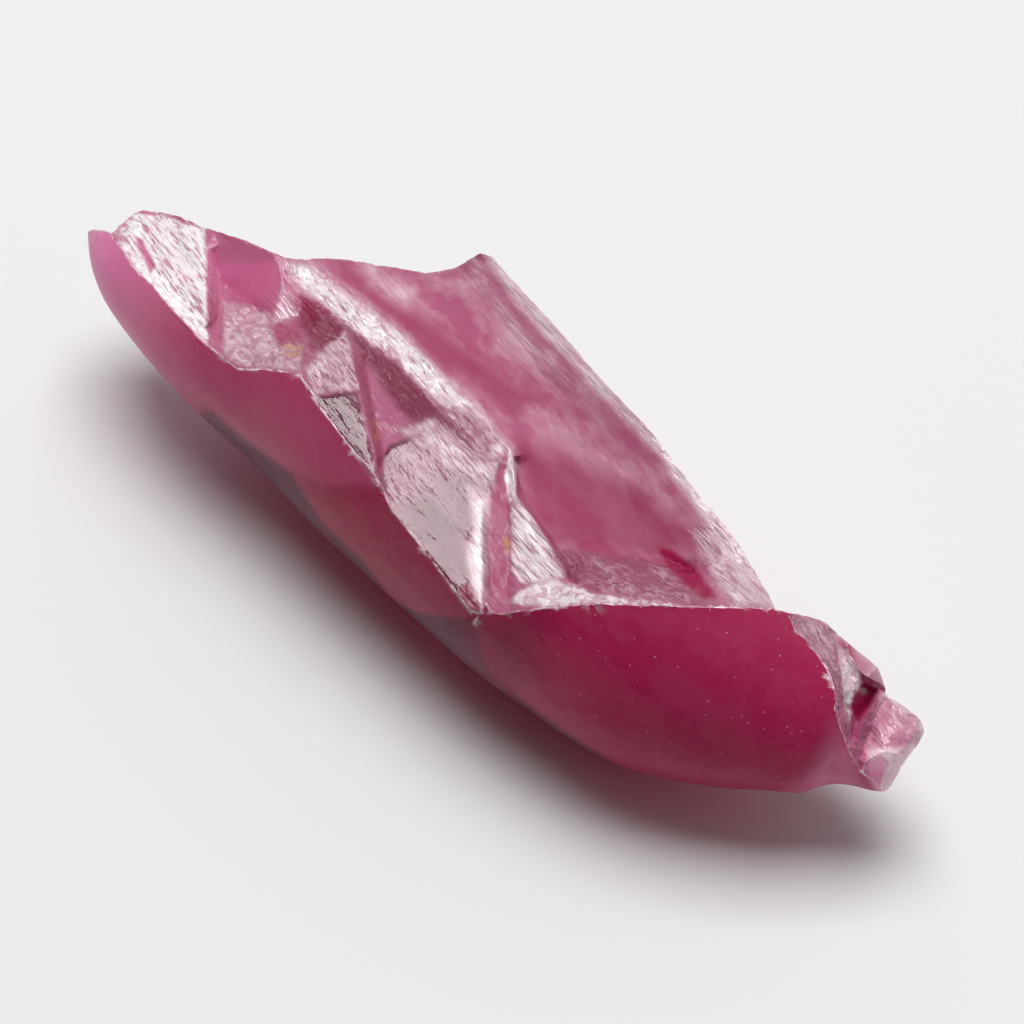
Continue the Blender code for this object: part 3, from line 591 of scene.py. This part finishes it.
rubySettings = {
    "body": "#fa00ec",          # what a thin slice lets through
    "density": 600.0,           # absorption per metre
    "ior": 1.77,
    "specular": 0.15,
    "specularTint": (0.08, 0.08, 0.08, 1.0),
    "coatRough": 0.06,
    "tipTint": "#ff98c8",       # frosted skin where the stone is thin
    "skinTint": "#bf265e",      # frosted skin where it is thick
    "tipEnd": -20.5 * mm,       # thin up to here along the stone
    "thickEnd": -12 * mm,       # and thick from here on
    "paintedShadeTint": "#66193b",      # painted shade: the skin low on the near side greyed and darkened, where it lies in shade and mirrors the shadowed floor
    "warmGleamTint": "#f0b070",     # painted warm glints in small spots on the break
    "warmGleamLeast": 0.15,
    "breakTint": "#e27eaa",     # clean break
    "hazeTint": "#ffffff",      # crushed, whitish break
    "hazeMilk": 0.98,
    "skinRough": 0.4,
    "breakRough": 0.24,
    "grainRough": 0.12,         # more where the break is granular
    "glassRough": 0.06,
    "grainSize": mm / 3.2,
    "streakWidth": mm / 6,      # real ones are finer: these are as coarse as they need to show
    "streakStretch": 9.0,
    "streakTurn": -17.0,        # degrees from the stone's length
    "cloudWidth": mm / 0.65,
    "cloudStretch": 2.5,
    "cloudEdge": (0.42, 0.6),   # where in its noise each pattern begins and is full
    "streakEdge": (0.45, 0.56),
    "crackEdge": (0.36, 0.46),
    "gapEdge": (0.25, 0.5),
    "cloudLeast": 0.1,          # and what is left of the haze where the pattern is empty
    "crackLeast": 0.4,
    "gapLeast": 0.65,
    "chipLeast": 0.5,
    "plainHaze": 0.8,
    "fillFrom": 0.3,            # haze above this closes up
    "fillMost": 0.85,
    "speckSize": 0.1,
    "speckShare": 0.45,
    "speckHaze": 0.35,
    "rippleHeight": 0.22 * mm,
    "tilt": 0.5,                # how far the small splinters lean
}


def addHaze(tree, look, marks, cells, streaks, clouds):
    # haze lies in clouds, in streaks within them, and in flakes; Mix sockets 2 and 3 are plain values
    cloudLevel = addNode(tree, "ShaderNodeMapRange",
                         {"From Min": look["cloudEdge"][0], "From Max": look["cloudEdge"][1],
                          "To Min": look["cloudLeast"]}, {"Value": clouds})
    streakLevel = addNode(tree, "ShaderNodeMapRange",
                          {"From Min": look["streakEdge"][0], "From Max": look["streakEdge"][1]},
                          {"Value": streaks})
    drawn = addNode(tree, "ShaderNodeMix", {2: look["plainHaze"]}, {0: marks["streak"], 3: streakLevel})
    flaky = addNode(tree, "ShaderNodeMix", {2: 1.0}, {0: marks["rough"], 3: cells.outputs["Color"]})
    flakes = addNode(tree, "ShaderNodeMath", {"operation": "MULTIPLY"}, {0: drawn, 1: flaky})
    patchy = addNode(tree, "ShaderNodeMath", {"operation": "MULTIPLY"}, {0: cloudLevel, 1: flakes})
    closed = addNode(tree, "ShaderNodeMapRange", {"From Min": look["fillFrom"], "To Max": look["fillMost"]},
                     {"Value": marks["haze"]})
    filled = addNode(tree, "ShaderNodeMix", {3: 1.0}, {0: closed, 2: patchy})

    # clear cracks between the streaks, and gaps between the grains
    crackLevel = addNode(tree, "ShaderNodeMapRange",
                         {"From Min": look["crackEdge"][0], "From Max": look["crackEdge"][1],
                          "To Min": look["crackLeast"]}, {"Value": streaks})
    gapLevel = addNode(tree, "ShaderNodeMapRange",
                       {"From Min": look["gapEdge"][0], "From Max": look["gapEdge"][1],
                        "To Min": look["gapLeast"]}, {"Value": cells.outputs["Color"]})
    cracks = addNode(tree, "ShaderNodeMix", {2: 1.0}, {0: marks["streak"], 3: crackLevel})
    gaps = addNode(tree, "ShaderNodeMix", {2: 1.0}, {0: marks["rough"], 3: gapLevel})
    broken = addNode(tree, "ShaderNodeMath", {"operation": "MULTIPLY"}, {0: cracks, 1: gaps})
    split = addNode(tree, "ShaderNodeMath", {"operation": "MULTIPLY"}, {0: filled, 1: broken})
    body = addNode(tree, "ShaderNodeMath", {"operation": "MULTIPLY"}, {0: marks["haze"], 1: split})

    # small chips along the rim, and a few white specks in the skin
    chips = addNode(tree, "ShaderNodeMapRange", {"To Min": look["chipLeast"]}, {"Value": streakLevel})
    chipped = addNode(tree, "ShaderNodeMath", {"operation": "MULTIPLY"}, {0: marks["rim"], 1: chips})
    edged = addNode(tree, "ShaderNodeMath", {"operation": "MAXIMUM"}, {0: body, 1: chipped})
    dot = addNode(tree, "ShaderNodeMath", {"operation": "LESS_THAN", 1: look["speckSize"]},
                  {0: cells.outputs["Distance"]})
    few = addNode(tree, "ShaderNodeMath", {"operation": "LESS_THAN", 1: look["speckShare"]},
                  {0: cells.outputs["Color"]})
    specks = addNode(tree, "ShaderNodeMath", {"operation": "MULTIPLY"}, {0: dot, 1: few})
    faint = addNode(tree, "ShaderNodeMath", {"operation": "MULTIPLY", 1: look["speckHaze"]}, {0: specks})
    inSkin = addNode(tree, "ShaderNodeMath", {"operation": "MULTIPLY"}, {0: faint, 1: marks["crimson"]})
    haze = addNode(tree, "ShaderNodeMath", {"operation": "MAXIMUM"}, {0: edged, 1: inSkin})
    return haze, streakLevel


def addTint(tree, look, marks, haze, streakLevel, along):
    # lilac to crimson along the skin, pink at the break, whitish where it is crushed, with painted shade low
    # on the near side and small painted warm glints
    # (in a colour Mix, sockets 6 and 7 are the colours and output 2 is the result)
    thick = addNode(tree, "ShaderNodeMapRange",
                    {"From Min": look["tipEnd"], "From Max": look["thickEnd"]}, {"Value": along})
    skin = addNode(tree, "ShaderNodeMix",
                   {"data_type": "RGBA", 6: srgbToLinear(look["tipTint"]), 7: srgbToLinear(look["skinTint"])},
                   {0: thick})
    plain = addNode(tree, "ShaderNodeMix", {"data_type": "RGBA", 6: srgbToLinear(look["breakTint"])},
                    {0: marks["crimson"], 7: skin.outputs[2]})
    shaded = addNode(tree, "ShaderNodeMix", {"data_type": "RGBA", 7: srgbToLinear(look["paintedShadeTint"])},
                    {0: marks["paintedShade"], 6: plain.outputs[2]})
    hazy = addNode(tree, "ShaderNodeMix", {"data_type": "RGBA", 7: srgbToLinear(look["hazeTint"])},
                   {0: haze, 6: shaded.outputs[2]})
    gleam = addNode(tree, "ShaderNodeMapRange", {"To Min": look["warmGleamLeast"]}, {"Value": streakLevel})
    gleams = addNode(tree, "ShaderNodeMath", {"operation": "MULTIPLY"}, {0: marks["warmGleam"], 1: gleam})
    warm = addNode(tree, "ShaderNodeMix", {"data_type": "RGBA", 7: srgbToLinear(look["warmGleamTint"])},
                   {0: gleams, 6: hazy.outputs[2]})
    return warm.outputs[2]


def addFinish(tree, look, marks):
    # frosted skin, smoother break, glassy facets, dull grain
    base = addNode(tree, "ShaderNodeMapRange", {"To Min": look["breakRough"], "To Max": look["skinRough"]},
                   {"Value": marks["crimson"]})
    grained = addNode(tree, "ShaderNodeMath", {"operation": "MULTIPLY_ADD", 1: look["grainRough"]},
                      {0: marks["rough"], 2: base})
    return addNode(tree, "ShaderNodeMix", {3: look["glassRough"]}, {0: marks["gloss"], 2: grained})


def addSplinters(tree, look, marks, place, cells, streaks):
    # each cell is a small flat splinter tipped its own way, and ripples run along the streaks
    lean = addNode(tree, "ShaderNodeVectorMath", {"operation": "SUBTRACT", 1: (0.5, 0.5, 0.5)},
                   {0: cells.outputs["Color"]})
    reach = addNode(tree, "ShaderNodeVectorMath", {"operation": "SUBTRACT"},
                    {0: place, 1: cells.outputs["Position"]})
    cellHeight = addNode(tree, "ShaderNodeVectorMath", {"operation": "DOT_PRODUCT"}, {0: lean, 1: reach})
    ripple = addNode(tree, "ShaderNodeMapRange",
                     {"To Min": -look["rippleHeight"], "To Max": look["rippleHeight"]}, {"Value": streaks})
    ripples = addNode(tree, "ShaderNodeMath", {"operation": "MULTIPLY"}, {0: ripple, 1: marks["streak"]})
    height = addNode(tree, "ShaderNodeMath", {"operation": "MULTIPLY_ADD"},
                     {0: cellHeight.outputs["Value"], 1: marks["rough"], 2: ripples})
    return addNode(tree, "ShaderNodeBump", {"Strength": 1.0, "Distance": look["tilt"]}, {"Height": height})


def makeRuby(look):
    # corundum, melt-grown and split: clear crimson that deepens where it is thick, a frosted skin
    # that glows, glassy facets that mirror the light, and crushed whitish streaks
    material = bpy.data.materials.new("rawRuby")
    material.use_nodes = True
    tree = material.node_tree
    tree.nodes.clear()
    place = addNode(tree, "ShaderNodeTexCoord").outputs["Object"]
    marks = {}
    for name in (*zoneMarks, "rim", "paintedShade", "warmGleam"):
        marks[name] = addNode(tree, "ShaderNodeAttribute", {"attribute_name": name}).outputs["Fac"]

    # places drawn out along the streaks, and less so for the clouds
    turn = (0.0, 0.0, math.radians(look["streakTurn"]))
    streakPlace = addNode(tree, "ShaderNodeMapping",
                          {"vector_type": "TEXTURE", "Rotation": turn,
                           "Scale": (look["streakStretch"], 1.0, 1.0)}, {"Vector": place})
    cloudPlace = addNode(tree, "ShaderNodeMapping",
                         {"vector_type": "TEXTURE", "Rotation": turn,
                          "Scale": (look["cloudStretch"], 1.0, 1.0)}, {"Vector": place})
    cells = addNode(tree, "ShaderNodeTexVoronoi", {"Scale": 1 / look["grainSize"]}, {"Vector": place})
    streaks = addNode(tree, "ShaderNodeTexNoise",
                      {"Scale": 1 / look["streakWidth"], "Detail": 2.0, "Roughness": 0.6},
                      {"Vector": streakPlace})
    clouds = addNode(tree, "ShaderNodeTexNoise",
                     {"Scale": 1 / look["cloudWidth"], "Detail": 4.0, "Roughness": 0.65},
                     {"Vector": cloudPlace})

    haze, streakLevel = addHaze(tree, look, marks, cells, streaks, clouds)
    along = addNode(tree, "ShaderNodeSeparateXYZ", {}, {0: place})
    tint = addTint(tree, look, marks, haze, streakLevel, along)
    milk = addNode(tree, "ShaderNodeMix", {3: look["hazeMilk"]}, {0: haze, 2: marks["milk"]})
    clearness = addNode(tree, "ShaderNodeMath", {"operation": "SUBTRACT", 0: 1.0}, {1: milk})
    bump = addSplinters(tree, look, marks, place, cells, streaks)

    shader = addNode(tree, "ShaderNodeBsdfPrincipled",
                     {"IOR": look["ior"], "Specular IOR Level": look["specular"],
                      "Specular Tint": look["specularTint"], "Coat IOR": look["ior"],
                      "Coat Roughness": look["coatRough"]},
                     {"Base Color": tint, "Roughness": addFinish(tree, look, marks), "Normal": bump,
                      "Transmission Weight": clearness, "Coat Weight": marks["glaze"], "Coat Normal": bump})
    volume = addNode(tree, "ShaderNodeVolumeAbsorption",
                     {"Color": srgbToLinear(look["body"]), "Density": look["density"]})
    addNode(tree, "ShaderNodeOutputMaterial", {}, {"Surface": shader, "Volume": volume})
    return material


stone.data.materials.clear()
addRelief(stone, reliefSettings, makeRuby(rubySettings))
print("relief and ruby added:", len(stone.data.polygons), "faces")
stone.data.shade_smooth()
stone.data.set_sharp_from_angle(angle=math.radians(stoneSettings["sharpAngle"]))

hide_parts("ruby_crystal")
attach(stone, "root")

floorSettings = {"size": 3.0, "color": "#dfdfdf", "rough": 0.9}
keySettings = {"toward": (-0.084, 0.1, 0.99), "distance": 0.5, "size": 0.34, "power": 2.55}
roomSettings = {
    "toward": (0.1, 0.75, 0.65),    # the room is brightest this way
    "front": 0.03,                  # strength away from there, and towards it
    "back": 0.5,
    "spread": (-0.1, 0.95),
}


def addFloor(settings):
    half = settings["size"] / 2
    corners = [(-half, -half, 0), (half, -half, 0), (half, half, 0), (-half, half, 0)]
    mesh = bpy.data.meshes.new("floor")
    mesh.from_pydata(corners, [], [(0, 1, 2, 3)])
    floor = bpy.data.objects.new("floor", mesh)
    scene.collection.objects.link(floor)
    # pale card, pressed matt: it takes a soft shadow and gives no shine
    material = bpy.data.materials.new("paleCard")
    material.use_nodes = True
    shader = material.node_tree.nodes["Principled BSDF"]
    shader.inputs["Base Color"].default_value = srgbToLinear(settings["color"])
    shader.inputs["Roughness"].default_value = settings["rough"]
    shader.inputs["Specular IOR Level"].default_value = 0.0
    mesh.materials.append(material)


def addSoftLight(name, settings):
    data = bpy.data.lights.new(name, "AREA")
    data.shape = "SQUARE"
    data.size = settings["size"]
    data.energy = settings["power"]
    light = bpy.data.objects.new(name, data)
    scene.collection.objects.link(light)
    toward = Vector(settings["toward"]).normalized()
    light.location = toward * settings["distance"]
    light.rotation_euler = toward.to_track_quat("Z", "Y").to_euler()


def addRoom(settings):
    # pale room light, strongest from behind and above
    world = bpy.data.worlds.new("room")
    scene.world = world
    world.use_nodes = True
    tree = world.node_tree
    direction = addNode(tree, "ShaderNodeTexCoord").outputs["Generated"]
    toward = Vector(settings["toward"]).normalized()
    along = addNode(tree, "ShaderNodeVectorMath", {"operation": "DOT_PRODUCT", 1: toward}, {0: direction})
    level = addNode(tree, "ShaderNodeMapRange",
                    {"From Min": settings["spread"][0], "From Max": settings["spread"][1],
                     "To Min": settings["front"], "To Max": settings["back"]},
                    {"Value": along.outputs["Value"]})
    background = tree.nodes["Background"]
    background.inputs["Color"].default_value = (1.0, 1.0, 1.0, 1.0)
    tree.links.new(level.outputs[0], background.inputs["Strength"])


addFloor(floorSettings)
addSoftLight("keyLight", keySettings)
addRoom(roomSettings)
print("floor and lights set")
